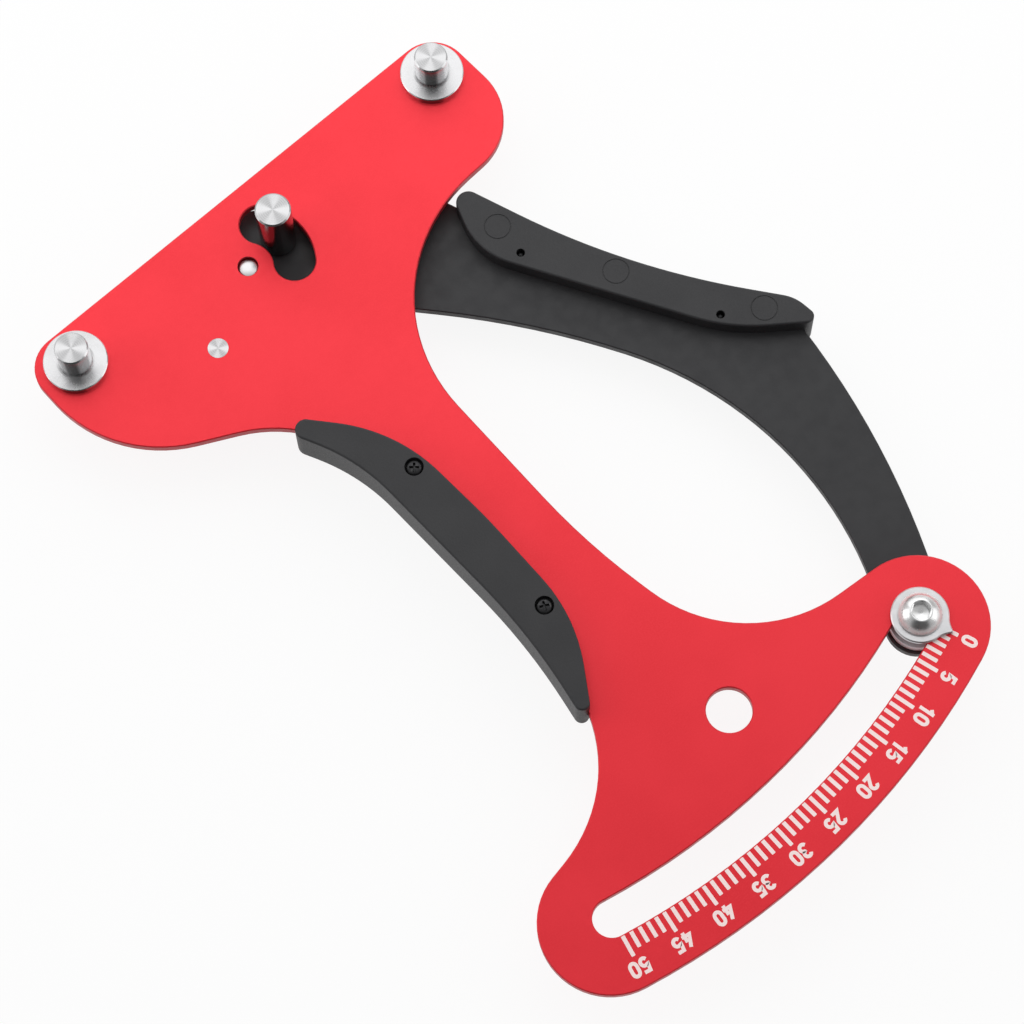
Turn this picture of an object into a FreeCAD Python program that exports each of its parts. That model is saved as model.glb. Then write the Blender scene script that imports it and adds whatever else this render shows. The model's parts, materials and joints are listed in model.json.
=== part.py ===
import FreeCAD
import Part
import math
import os

os.makedirs("parts", exist_ok=True)

# Spoke tension meter, in millimetres and degrees, lying on its back with its front face up.
# While it is drawn, the lever's pivot axis is x = y = 0 and the frame plate's front face is z = 0.
# x runs along the spoke, y away from the grips, z out of the front face.

# Plates and the space between them
PLATE_THICKNESS = 2.5
LEVER_THICKNESS = 2.5
PLATE_GAP = 3.0
EDGE_BREAK = 0.25
AXIAL_PLAY = 0.05
FIT_PLAY = 0.05
PRESS_PLAY = 0.02
HOLE_PLAY = 0.15
OVERRUN = 1.0

# Scale: slot, pointer travel and the band round them
SLOT_ARC_RADIUS = 177.6
ZERO_ANGLE = -71.0
SWEEP_ANGLE = 32.4
SLOT_WIDTH = 8.75
BAND_MARGIN = 17.0
BAND_END_RADIUS = 16.3
BAND_RIGHT_END_ANGLE = 0.5
BAND_LEFT_END_ANGLE = 0.25

# Spoke beam and its fixed posts
POST_SPACING = 110.8
LEFT_POST_DISTANCE = 45.7
POST_LINE_HEIGHT = 8.2
BEAM_EDGE = 8.85
LEFT_CORNER_RADIUS = 8.6
LEFT_CORNER_INSET = 1.4
LEFT_EDGE_LENGTH = 4.4
LEFT_EDGE_ANGLE = -90.0
LEFT_SHOULDER_RADIUS = 33.6
LEFT_BEAM_ANGLE = -27.5
RIGHT_CORNER_RADIUS = 8.9
RIGHT_EDGE_LENGTH = 9.0
RIGHT_EDGE_ANGLE = 92.0
RIGHT_SHOULDER_RADIUS = 16.3
RIGHT_BEAM_ANGLE = 2.6

# Neck between the beam and the scale band
NECK_LEFT = 10.8
NECK_RIGHT = 13.4
LEFT_WAIST_RADIUS = 33.1
LEFT_ROOT_RADIUS = 36.1
LEFT_ROOT_ANGLE = -170.5
RIGHT_ROOT_RADIUS = 35.3
RIGHT_ROOT_INSET = 2.55
RIGHT_ROOT_ANGLE = 174.4
NECK_HOLLOW_SHARE = 0.9403
NECK_HOLLOW_ANGLE = 99.9
NECK_HOLLOW_LENGTH = 3.3
RIGHT_WAIST_RADIUS = 42.3
RIGHT_WAIST_INSET = 0.3

# Openings in the frame plate
HANG_HOLE_RADIUS = 5.3
HANG_HOLE_X = 10.6
HANG_HOLE_SHARE = 0.874
POST_SLOT_RADIUS = 11.1
POST_SLOT_WIDTH = 10.0
POST_SLOT_HALF_ANGLE = 34.5

# Lever
LEVER_HEAD_RADIUS = 16.4
LEVER_FILLET_RADIUS = 12.0
LEVER_FILLET_ANGLE = 7.0
LEVER_END_RADIUS = 7.4
LEVER_THIGH_ANGLE = -48.6
LEVER_THIGH_LENGTH = 22.2
LEVER_THIGH_SHARE = 1.173
LEVER_HOLLOW_SHARE = 0.5063
LEVER_BACK_SHARE = 1.152
LEVER_BACK_ANGLE = 63.7
LEVER_BACK_LENGTH = 9.6
LEVER_KNEE_RADIUS = 7.0
LEVER_SADDLE_SHARES = (1.3254, 0.1811, 1.0907)
LEVER_CORNER_RADIUS = 8.0
LEVER_CORNER_ANGLE = 110.1
LEVER_CORNER_LENGTH = 26.2

# Pivot screw
PIVOT_THREAD_RADIUS = 2.45
PIVOT_TIP_RECESS = 1.0
PIVOT_TIP_CHAMFER = 0.5
PIVOT_SHOULDER_RADIUS = 3.5
PIVOT_HEAD_RADIUS = 5.3
PIVOT_HEAD_HEIGHT = 2.7
PIVOT_SOCKET_WIDTH = 3.0
PIVOT_SOCKET_DEPTH = 1.6
PIVOT_WASHER_RADIUS = 6.0
PIVOT_WASHER_THICKNESS = 0.5
PIVOT_SPACER_RADIUS = 6.0

# Fixed posts
FIXED_POST_RADIUS = 4.0
FIXED_POST_HEIGHT = 9.8
FLANGE_RADIUS = 7.6
FLANGE_THICKNESS = 1.8
FLANGE_CHAMFER = 0.2
POST_CHAMFER = 0.35
POST_NECK_RADIUS = 3.55
POST_NECK_HEIGHT = 0.55
POST_BORE_DEPTH = 6.0
POST_THREAD_RADIUS = 2.0

# Moving post
MOVING_POST_RADIUS = 4.25
MOVING_POST_HEIGHT = 12.9
MOVING_POST_ANGLE = 11.5

# Button-head screws that hold the posts
POST_SCREW_HEAD_RADIUS = 3.8
POST_SCREW_HEAD_HEIGHT = 2.2
POST_SCREW_SOCKET_WIDTH = 2.5
POST_SCREW_SOCKET_DEPTH = 1.3
POST_SCREW_ENGAGEMENT = 5.0

# Grips: each is a front and a rear half with the plate clamped between them
GRIP_HEIGHT = 4.5
GRIP_EDGE_RADIUS = 0.5
FRAME_GRIP_LENGTH = 95.0
FRAME_GRIP_END_SHARES = (-0.1823, -0.4368, 0.0264)
FRAME_GRIP_HIGH_SADDLE_SHARES = (-0.6619, -0.7104, 0.5247)
FRAME_GRIP_LOW_SADDLE_SHARES = (-1.7163, -1.0564, 1.5874)
FRAME_GRIP_TIP_SHARES = (-0.1453, -1.3963, 0.0189)
FRAME_GRIP_LOW_SHARES = (-0.4384, -1.0940, 0.4300)
FRAME_GRIP_BELLY_SHARES = (-1.5847, -0.9263, 1.5789)
FRAME_GRIP_HIGH_SHARES = (-0.4430, -0.7537, 0.4305)
FRAME_SCREW_SHARES = ((-0.0505, -0.6863), (-0.0505, -1.1579))
LEVER_GRIP_LENGTH = 91.0
LEVER_GRIP_END_SHARES = (0.5478, -0.2431, 0.0322)
LEVER_GRIP_BELLY_SHARES = (0.6809, -0.3468, 0.1923)
LEVER_GRIP_LOW_SHARES = (1.1922, -0.6259, 0.4955)
LEVER_GRIP_TIP_SHARES = (0.9844, -1.0654, 0.0199)
LEVER_GRIP_BROW_SHARES = (0.8923, -1.0496, 0.1099)
LEVER_GRIP_SADDLE_SHARES = (2.5867, 0.3535, 2.0882)
LEVER_SCREW_SHARES = ((0.5536, -0.4415), (0.8215, -0.9155))
MOULD_RING_SHARES = ((0.5577, -0.3465), (0.7018, -0.6459), (0.9170, -0.9783))
MOULD_RING_RADIUS = 3.25
MOULD_RING_WIDTH = 0.3
MOULD_RING_DEPTH = 0.15
GRIP_RECESS_RADIUS = 2.25
GRIP_RECESS_DEPTH = 1.7
GRIP_SCREW_HEAD_RADIUS = 2.0
GRIP_SCREW_HEAD_HEIGHT = 1.3
GRIP_SCREW_RADIUS = 1.0
GRIP_SCREW_TIP_RECESS = 1.0
CROSS_LENGTH = 2.4
CROSS_WIDTH = 0.55
CROSS_DEPTH = 0.8

# Pointer stack
POINTER_RADIUS = 6.7
POINTER_THICKNESS = 0.8
POINTER_LIFT = 0.35
POINTER_TIP_DISTANCE = 8.4
POINTER_TIP_RADIUS = 0.35
POINTER_FLANK_RADIUS = 5.0
POINTER_FLANK_ANGLE = 24.5
SLOT_BUSH_PLAY = 0.2
SLOT_BUSH_FLANGE = 1.3
SLOT_BUSH_FLANGE_PLAY = 0.3
SLOT_WASHER_RADIUS = 6.6
POINTER_SCREW_RADIUS = 3.0
POINTER_HEAD_RADIUS = 5.1
POINTER_HEAD_HEIGHT = 3.2
POINTER_SOCKET_WIDTH = 4.0
POINTER_SOCKET_DEPTH = 2.0
NUT_WIDTH = 10.0
NUT_HEIGHT = 3.2
NUT_STICK_OUT = 0.8

# Return spring and its two studs
SPRING_WIRE = 1.5
SPRING_OUTER_DIAMETER = 7.2
SPRING_TURNS = 6
SPRING_PITCH = 2.02
SPRING_BEND_RADIUS = 1.6
SPRING_BACK_GAP = 0.3
HOOK_PLAY = 0.1
HOOK_WRAP = 205.0
STUD_RADIUS = 2.45
STUD_HEAD_RADIUS = 3.2
STUD_HEAD_THICKNESS = 1.5
STUD_TENON_RADIUS = 1.5
GROOVE_PLAY = 0.2
ANCHOR_X = -18.6
ANCHOR_Y = -11.1
LEVER_STUD_RADIUS = 12.6
LEVER_STUD_ANGLE = 138.0
LEAST_SPRING_GAP = 0.4
SPRING_SAMPLE_STEP = 0.25

ROUND = 1
HOLLOW = -1
QUARTER_TURN = 90.0
HALF_TURN = 180.0
FULL_TURN = 360.0
SAME_POINT = 1e-4
HEX_SIDES = 6

COIL_RADIUS = (SPRING_OUTER_DIAMETER - SPRING_WIRE) / 2
GROOVE_RADIUS = COIL_RADIUS - SPRING_WIRE / 2 - HOOK_PLAY
LEVER_FRONT = -PLATE_THICKNESS - PLATE_GAP
LEVER_BACK = LEVER_FRONT - LEVER_THICKNESS
SPRING_AXIS_Z = LEVER_BACK - SPRING_BACK_GAP - SPRING_OUTER_DIAMETER / 2
SLOT_BUSH_RADIUS = SLOT_WIDTH / 2 - SLOT_BUSH_PLAY


def point(place, z=0.0):
    return FreeCAD.Vector(place[0], place[1], z)


def polar(radius, angle):
    turn = math.radians(angle)
    return (radius * math.cos(turn), radius * math.sin(turn))


def scaled(shares, size):
    return tuple(share * size for share in shares)


def shifted(place, dx, dy):
    return (place[0] + dx, place[1] + dy)


LEFT_POST = (-LEFT_POST_DISTANCE, POST_LINE_HEIGHT)
RIGHT_POST = (POST_SPACING - LEFT_POST_DISTANCE, POST_LINE_HEIGHT)
POINTER = polar(SLOT_ARC_RADIUS, ZERO_ANGLE)
MOVING_POST = polar(POST_SLOT_RADIUS, MOVING_POST_ANGLE)
HANG_HOLE = (HANG_HOLE_X, -HANG_HOLE_SHARE * SLOT_ARC_RADIUS)
ANCHOR = (ANCHOR_X, ANCHOR_Y)
LEVER_STUD = polar(LEVER_STUD_RADIUS, LEVER_STUD_ANGLE)
FRAME_SCREWS = [scaled(shares, FRAME_GRIP_LENGTH) for shares in FRAME_SCREW_SHARES]
LEVER_SCREWS = [scaled(shares, LEVER_GRIP_LENGTH) for shares in LEVER_SCREW_SHARES]
MOULD_RINGS = [scaled(shares, LEVER_GRIP_LENGTH) for shares in MOULD_RING_SHARES]


# An outline is a belt drawn tight round circles, anticlockwise, with the material on its left.
# A circle is (centre, radius, side): the belt wraps a ROUND one and bends the other way at a HOLLOW one.


def circle(centre, radius, side=ROUND):
    return (centre, radius, side)


def share_circle(shares, size, side=ROUND):
    x, y, radius = scaled(shares, size)
    return circle((x, y), radius, side)


def follow(ring, angle, length, radius, side=ROUND):
    """The circle that comes after a straight of this length, which leaves the ring at this angle."""
    centre, ring_radius, ring_side = ring
    step = side * radius - ring_side * ring_radius
    return circle(shifted(shifted(centre, *polar(length, angle)), *polar(step, angle + QUARTER_TURN)), radius, side)


def lead(ring, angle, length, radius, side=ROUND):
    """The circle that comes before a straight of this length, which meets the ring at this angle."""
    centre, ring_radius, ring_side = ring
    step = side * radius - ring_side * ring_radius
    return circle(shifted(shifted(centre, *polar(-length, angle)), *polar(step, angle + QUARTER_TURN)), radius, side)


def follow_to(ring, angle, x, radius, side=ROUND):
    """As follow, with the straight as long as brings the circle's centre to x."""
    near = follow(ring, angle, 0, radius, side)[0][0]
    return follow(ring, angle, (x - near) / math.cos(math.radians(angle)), radius, side)


def lead_to(ring, angle, x, radius, side=ROUND):
    """As lead, with the straight as long as brings the circle's centre to x."""
    near = lead(ring, angle, 0, radius, side)[0][0]
    return lead(ring, angle, (near - x) / math.cos(math.radians(angle)), radius, side)


def bridge(first, last, radius, side=ROUND):
    """The circle that touches the two rings it comes between, with no straight."""
    (centre_a, radius_a, side_a), (centre_b, radius_b, side_b) = first, last
    reach_a = side * radius - side_a * radius_a
    reach_b = side * radius - side_b * radius_b
    span = math.dist(centre_a, centre_b)
    along = (span * span + reach_a * reach_a - reach_b * reach_b) / (2 * span)
    across = -side * math.sqrt(max(0.0, reach_a * reach_a - along * along))
    angle = math.degrees(math.atan2(centre_b[1] - centre_a[1], centre_b[0] - centre_a[0]))
    return circle(shifted(shifted(centre_a, *polar(along, angle)), *polar(across, angle + QUARTER_TURN)), radius, side)


def grown(belt, amount):
    return [(centre, radius + side * amount, side) for centre, radius, side in belt]


def straight_run(first, second):
    (centre_a, radius_a, side_a), (centre_b, radius_b, side_b) = first, second
    dx = centre_b[0] - centre_a[0]
    dy = centre_b[1] - centre_a[1]
    ratio = (side_b * radius_b - side_a * radius_a) / math.hypot(dx, dy)
    heading = math.atan2(dy, dx) - math.asin(max(-1.0, min(1.0, ratio)))
    left = (-math.sin(heading), math.cos(heading))
    leaves = shifted(centre_a, -side_a * radius_a * left[0], -side_a * radius_a * left[1])
    meets = shifted(centre_b, -side_b * radius_b * left[0], -side_b * radius_b * left[1])
    return leaves, meets


def bend_middle(ring, start, end):
    centre, radius, side = ring
    first = math.atan2(start[1] - centre[1], start[0] - centre[0])
    sweep = side * (math.atan2(end[1] - centre[1], end[0] - centre[0]) - first) % (2 * math.pi)
    return shifted(centre, *polar(radius, math.degrees(first + side * sweep / 2)))


def belt_wire(belt, z):
    runs = [straight_run(ring, belt[(i + 1) % len(belt)]) for i, ring in enumerate(belt)]
    edges = []
    for i, ring in enumerate(belt):
        start = runs[i - 1][1]
        if math.dist(*runs[i - 1]) < SAME_POINT:
            start = runs[i - 1][0]
        leaves, meets = runs[i]
        middle = bend_middle(ring, start, leaves)
        edges.append(Part.Arc(point(start, z), point(middle, z), point(leaves, z)).toShape())
        if math.dist(leaves, meets) >= SAME_POINT:
            edges.append(Part.makeLine(point(leaves, z), point(meets, z)))
    return Part.Wire(edges)


def prism(belt, low, high):
    return Part.Face(belt_wire(belt, low)).extrude(FreeCAD.Vector(0, 0, high - low))


def rod(place, radius, low, high):
    return Part.makeCylinder(radius, high - low, point(place, low))


def ring_solid(place, inner, outer, low, high):
    return rod(place, outer, low, high).cut(rod(place, inner, low - OVERRUN, high + OVERRUN))


def hex_prism(place, width, low, high):
    corner = width / 2 / math.cos(math.radians(HALF_TURN / HEX_SIDES))
    step = FULL_TURN / HEX_SIDES
    corners = [shifted(place, *polar(corner, step * i)) for i in range(HEX_SIDES + 1)]
    face = Part.Face(Part.makePolygon([point(c, low) for c in corners]))
    return face.extrude(FreeCAD.Vector(0, 0, high - low))


def turned(place, profile):
    corners = [FreeCAD.Vector(place[0] + radius, place[1], z) for radius, z in profile]
    face = Part.Face(Part.makePolygon(corners + corners[:1]))
    return face.revolve(point(place), FreeCAD.Vector(0, 0, 1), FULL_TURN)


def level_edges(solid, z):
    return [e for e in solid.Edges if all(abs(v.Z - z) < SAME_POINT for v in e.Vertexes)]


def broken_edges(solid, low, high):
    return solid.makeChamfer(EDGE_BREAK, level_edges(solid, low) + level_edges(solid, high))


def flipped(solid, place, z):
    return solid.rotated(point(place, z), FreeCAD.Vector(1, 0, 0), HALF_TURN)


def arc_slot(radius, width, first_angle, last_angle):
    half = width / 2
    return [
        circle(polar(radius, first_angle), half),
        circle((0, 0), radius + half),
        circle(polar(radius, last_angle), half),
        circle((0, 0), radius - half, HOLLOW),
    ]


# Frame plate


def band_end(angle):
    return circle(polar(SLOT_ARC_RADIUS + BAND_MARGIN - BAND_END_RADIUS, angle), BAND_END_RADIUS)


def plate_left():
    """The left side going down: beam corner, shoulder, waist, and the root that runs out into the band."""
    corner = (LEFT_POST[0] - LEFT_CORNER_INSET, LEFT_POST[1] + BEAM_EDGE - LEFT_CORNER_RADIUS)
    corner = circle(corner, LEFT_CORNER_RADIUS)
    shoulder = follow(corner, LEFT_EDGE_ANGLE, LEFT_EDGE_LENGTH, LEFT_SHOULDER_RADIUS)
    waist_x = -NECK_LEFT - LEFT_WAIST_RADIUS
    waist = follow_to(shoulder, LEFT_BEAM_ANGLE, waist_x, LEFT_WAIST_RADIUS, HOLLOW)
    end = band_end(ZERO_ANGLE - SWEEP_ANGLE - BAND_LEFT_END_ANGLE)
    root_x = -NECK_LEFT - LEFT_ROOT_RADIUS
    root = lead_to(end, LEFT_ROOT_ANGLE, root_x, LEFT_ROOT_RADIUS, HOLLOW)
    return [corner, shoulder, waist, root, end]


def plate_right():
    """The right side going up: the band's end, root, long neck hollow, waist, shoulder and beam corner."""
    end = band_end(ZERO_ANGLE - BAND_RIGHT_END_ANGLE)
    root_x = NECK_RIGHT + RIGHT_ROOT_INSET + RIGHT_ROOT_RADIUS
    root = follow_to(end, RIGHT_ROOT_ANGLE, root_x, RIGHT_ROOT_RADIUS, HOLLOW)
    neck = follow(root, NECK_HOLLOW_ANGLE, NECK_HOLLOW_LENGTH, NECK_HOLLOW_SHARE * SLOT_ARC_RADIUS, HOLLOW)
    corner = circle(shifted(RIGHT_POST, 0, BEAM_EDGE - RIGHT_CORNER_RADIUS), RIGHT_CORNER_RADIUS)
    shoulder = lead(corner, RIGHT_EDGE_ANGLE, RIGHT_EDGE_LENGTH, RIGHT_SHOULDER_RADIUS)
    waist_x = NECK_RIGHT + RIGHT_WAIST_INSET + RIGHT_WAIST_RADIUS
    waist = lead_to(shoulder, RIGHT_BEAM_ANGLE, waist_x, RIGHT_WAIST_RADIUS, HOLLOW)
    return [end, root, neck, waist, shoulder, corner]


def plate_belt():
    return plate_left() + [circle((0, 0), SLOT_ARC_RADIUS + BAND_MARGIN)] + plate_right()


def pointer_slot():
    return arc_slot(SLOT_ARC_RADIUS, SLOT_WIDTH, ZERO_ANGLE - SWEEP_ANGLE, ZERO_ANGLE)


def post_slot():
    return arc_slot(POST_SLOT_RADIUS, POST_SLOT_WIDTH, -POST_SLOT_HALF_ANGLE, POST_SLOT_HALF_ANGLE)


def frame_plate():
    low = -PLATE_THICKNESS
    plate = prism(plate_belt(), low, 0)
    plate = plate.cut(prism(pointer_slot(), low, 0))
    plate = plate.cut(prism(post_slot(), low, 0))
    plate = plate.cut(rod(HANG_HOLE, HANG_HOLE_RADIUS, low, 0))
    plate = broken_edges(plate, low, 0)
    holes = [(ANCHOR, STUD_RADIUS + PRESS_PLAY), ((0, 0), PIVOT_THREAD_RADIUS + FIT_PLAY)]
    holes += [(place, POST_THREAD_RADIUS + HOLE_PLAY) for place in (LEFT_POST, RIGHT_POST)]
    holes += [(place, GRIP_SCREW_RADIUS + HOLE_PLAY) for place in FRAME_SCREWS]
    for place, radius in holes:
        plate = plate.cut(rod(place, radius, low - OVERRUN, OVERRUN))
    return plate


# Lever


def lever_belt():
    arm = SLOT_ARC_RADIUS
    head = circle((0, 0), LEVER_HEAD_RADIUS)
    fillet = follow(head, LEVER_FILLET_ANGLE, 0, LEVER_FILLET_RADIUS, HOLLOW)
    end = circle(POINTER, LEVER_END_RADIUS)
    thigh = follow(fillet, LEVER_THIGH_ANGLE, LEVER_THIGH_LENGTH, LEVER_THIGH_SHARE * arm, HOLLOW)
    hollow = bridge(thigh, end, LEVER_HOLLOW_SHARE * arm, HOLLOW)
    back = follow(end, LEVER_BACK_ANGLE, LEVER_BACK_LENGTH, LEVER_BACK_SHARE * arm)
    saddle = share_circle(LEVER_SADDLE_SHARES, arm, HOLLOW)
    knee = bridge(back, saddle, LEVER_KNEE_RADIUS)
    corner = follow(saddle, LEVER_CORNER_ANGLE, LEVER_CORNER_LENGTH, LEVER_CORNER_RADIUS)
    return [head, fillet, thigh, hollow, end, back, knee, saddle, corner]


def lever_plate():
    lever = broken_edges(prism(lever_belt(), LEVER_BACK, LEVER_FRONT), LEVER_BACK, LEVER_FRONT)
    holes = [((0, 0), PIVOT_SHOULDER_RADIUS + FIT_PLAY), (LEVER_STUD, STUD_TENON_RADIUS + PRESS_PLAY)]
    holes += [(MOVING_POST, POST_THREAD_RADIUS + HOLE_PLAY), (POINTER, POINTER_SCREW_RADIUS + HOLE_PLAY)]
    holes += [(place, GRIP_SCREW_RADIUS + HOLE_PLAY) for place in LEVER_SCREWS]
    for place, radius in holes:
        lever = lever.cut(rod(place, radius, LEVER_BACK - OVERRUN, LEVER_FRONT + OVERRUN))
    return lever


# Screws are drawn standing on their heads' seat at z = 0, head up, shank down


def domed_head(radius, height, socket_width, socket_depth):
    rim = height / 5
    face = radius / 2
    dome_middle = (radius * 4 / 5, height * 2 / 3)
    edges = [
        Part.makeLine(FreeCAD.Vector(0, 0, 0), FreeCAD.Vector(radius, 0, 0)),
        Part.makeLine(FreeCAD.Vector(radius, 0, 0), FreeCAD.Vector(radius, 0, rim)),
        Part.Arc(
            FreeCAD.Vector(radius, 0, rim),
            FreeCAD.Vector(dome_middle[0], 0, dome_middle[1]),
            FreeCAD.Vector(face, 0, height),
        ).toShape(),
        Part.makeLine(FreeCAD.Vector(face, 0, height), FreeCAD.Vector(0, 0, height)),
        Part.makeLine(FreeCAD.Vector(0, 0, height), FreeCAD.Vector(0, 0, 0)),
    ]
    head = Part.Face(Part.Wire(edges)).revolve(FreeCAD.Vector(), FreeCAD.Vector(0, 0, 1), FULL_TURN)
    return head.cut(hex_prism((0, 0), socket_width, height - socket_depth, height + OVERRUN))


def shank(radius, length):
    tip = radius / 4
    return turned((0, 0), [(0, 0), (radius, 0), (radius, tip - length), (radius - tip, -length), (0, -length)])


def placed_screw(screw, place, seat_z, faces_back):
    if faces_back:
        screw = flipped(screw, (0, 0), 0)
    return screw.translated(point(place, seat_z))


def post_screw(place, seat_z, grip_length):
    head = domed_head(
        POST_SCREW_HEAD_RADIUS, POST_SCREW_HEAD_HEIGHT, POST_SCREW_SOCKET_WIDTH, POST_SCREW_SOCKET_DEPTH
    )
    screw = head.fuse(shank(POST_THREAD_RADIUS, grip_length + POST_SCREW_ENGAGEMENT))
    return placed_screw(screw.removeSplitter(), place, seat_z, True)


def pivot_screw():
    washer_z = LEVER_BACK - AXIAL_PLAY - PIVOT_WASHER_THICKNESS
    tip_z = -PIVOT_TIP_RECESS
    shoulder = rod((0, 0), PIVOT_SHOULDER_RADIUS, washer_z, -PLATE_THICKNESS)
    tip = [
        (0, -PLATE_THICKNESS),
        (PIVOT_THREAD_RADIUS, -PLATE_THICKNESS),
        (PIVOT_THREAD_RADIUS, tip_z - PIVOT_TIP_CHAMFER),
        (PIVOT_THREAD_RADIUS - PIVOT_TIP_CHAMFER, tip_z),
        (0, tip_z),
    ]
    head = domed_head(PIVOT_HEAD_RADIUS, PIVOT_HEAD_HEIGHT, PIVOT_SOCKET_WIDTH, PIVOT_SOCKET_DEPTH)
    head = placed_screw(head, (0, 0), washer_z, True)
    return shoulder.fuse([turned((0, 0), tip), head]).removeSplitter()


def pivot_washer():
    high = LEVER_BACK - AXIAL_PLAY
    bore = PIVOT_SHOULDER_RADIUS + FIT_PLAY
    return ring_solid((0, 0), bore, PIVOT_WASHER_RADIUS, high - PIVOT_WASHER_THICKNESS, high)


def pivot_spacer():
    bore = PIVOT_SHOULDER_RADIUS + FIT_PLAY
    return ring_solid((0, 0), bore, PIVOT_SPACER_RADIUS, LEVER_FRONT + AXIAL_PLAY, -PLATE_THICKNESS)


# Posts


def fixed_post(place):
    top = FIXED_POST_HEIGHT
    shoulder_z = FLANGE_THICKNESS + POST_NECK_HEIGHT
    slope = FIXED_POST_RADIUS - POST_NECK_RADIUS
    profile = [
        (0, 0),
        (FLANGE_RADIUS, 0),
        (FLANGE_RADIUS, FLANGE_THICKNESS - FLANGE_CHAMFER),
        (FLANGE_RADIUS - FLANGE_CHAMFER, FLANGE_THICKNESS),
        (POST_NECK_RADIUS, FLANGE_THICKNESS),
        (POST_NECK_RADIUS, shoulder_z),
        (FIXED_POST_RADIUS, shoulder_z + slope),
        (FIXED_POST_RADIUS, top - POST_CHAMFER),
        (FIXED_POST_RADIUS - POST_CHAMFER, top),
        (0, top),
    ]
    return turned(place, profile).cut(rod(place, POST_THREAD_RADIUS + FIT_PLAY, -OVERRUN, POST_BORE_DEPTH))


def moving_post():
    top = MOVING_POST_HEIGHT
    edge = MOVING_POST_RADIUS - POST_CHAMFER
    profile = [
        (0, LEVER_FRONT),
        (edge, LEVER_FRONT),
        (MOVING_POST_RADIUS, LEVER_FRONT + POST_CHAMFER),
        (MOVING_POST_RADIUS, top - POST_CHAMFER),
        (edge, top),
        (0, top),
    ]
    bore = rod(MOVING_POST, POST_THREAD_RADIUS + FIT_PLAY, LEVER_FRONT - OVERRUN, LEVER_FRONT + POST_BORE_DEPTH)
    return turned(MOVING_POST, profile).cut(bore)


# Grips


def frame_grip_belt():
    size = FRAME_GRIP_LENGTH
    return [
        share_circle(FRAME_GRIP_END_SHARES, size),
        share_circle(FRAME_GRIP_HIGH_SADDLE_SHARES, size, HOLLOW),
        share_circle(FRAME_GRIP_LOW_SADDLE_SHARES, size, HOLLOW),
        share_circle(FRAME_GRIP_TIP_SHARES, size),
        share_circle(FRAME_GRIP_LOW_SHARES, size),
        share_circle(FRAME_GRIP_BELLY_SHARES, size),
        share_circle(FRAME_GRIP_HIGH_SHARES, size),
    ]


def lever_grip_belt():
    size = LEVER_GRIP_LENGTH
    return [
        share_circle(LEVER_GRIP_END_SHARES, size),
        share_circle(LEVER_GRIP_BELLY_SHARES, size),
        share_circle(LEVER_GRIP_LOW_SHARES, size),
        share_circle(LEVER_GRIP_TIP_SHARES, size),
        share_circle(LEVER_GRIP_BROW_SHARES, size),
        share_circle(LEVER_GRIP_SADDLE_SHARES, size, HOLLOW),
    ]


def grip_half(belt, clamped_belt, parting_z, seat_z, holes):
    outward = math.copysign(1, seat_z - parting_z)
    face_z = seat_z + outward * GRIP_HEIGHT
    low, high = sorted((parting_z, face_z))
    half = prism(belt, low, high)
    half = half.makeFillet(GRIP_EDGE_RADIUS, level_edges(half, face_z))
    pocket_low, pocket_high = sorted((parting_z - outward * OVERRUN, seat_z))
    half = half.cut(prism(grown(clamped_belt, HOLE_PLAY), pocket_low, pocket_high))
    for place, radius, depth in holes:
        bottom, top = sorted((face_z - outward * depth, face_z + outward * OVERRUN))
        half = half.cut(rod(place, radius, bottom, top))
    return half


def screw_holes(places):
    through = GRIP_HEIGHT + OVERRUN
    bored = [(place, GRIP_SCREW_RADIUS + HOLE_PLAY, through) for place in places]
    return bored + [(place, GRIP_RECESS_RADIUS, GRIP_RECESS_DEPTH) for place in places]


def pilot_holes(places):
    return [(place, GRIP_SCREW_RADIUS + FIT_PLAY, GRIP_HEIGHT + OVERRUN) for place in places]


def frame_grip_front():
    parting = -PLATE_THICKNESS / 2
    return grip_half(frame_grip_belt(), plate_belt(), parting, 0, screw_holes(FRAME_SCREWS))


def frame_grip_rear():
    parting = -PLATE_THICKNESS / 2
    return grip_half(frame_grip_belt(), plate_belt(), parting, -PLATE_THICKNESS, pilot_holes(FRAME_SCREWS))


def lever_grip_front():
    parting = (LEVER_FRONT + LEVER_BACK) / 2
    half = grip_half(lever_grip_belt(), lever_belt(), parting, LEVER_FRONT, pilot_holes(LEVER_SCREWS))
    face_z = LEVER_FRONT + GRIP_HEIGHT
    inner = MOULD_RING_RADIUS - MOULD_RING_WIDTH
    for place in MOULD_RINGS:
        half = half.cut(ring_solid(place, inner, MOULD_RING_RADIUS, face_z - MOULD_RING_DEPTH, face_z + OVERRUN))
    return half


def lever_grip_rear():
    parting = (LEVER_FRONT + LEVER_BACK) / 2
    return grip_half(lever_grip_belt(), lever_belt(), parting, LEVER_BACK, screw_holes(LEVER_SCREWS))


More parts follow.
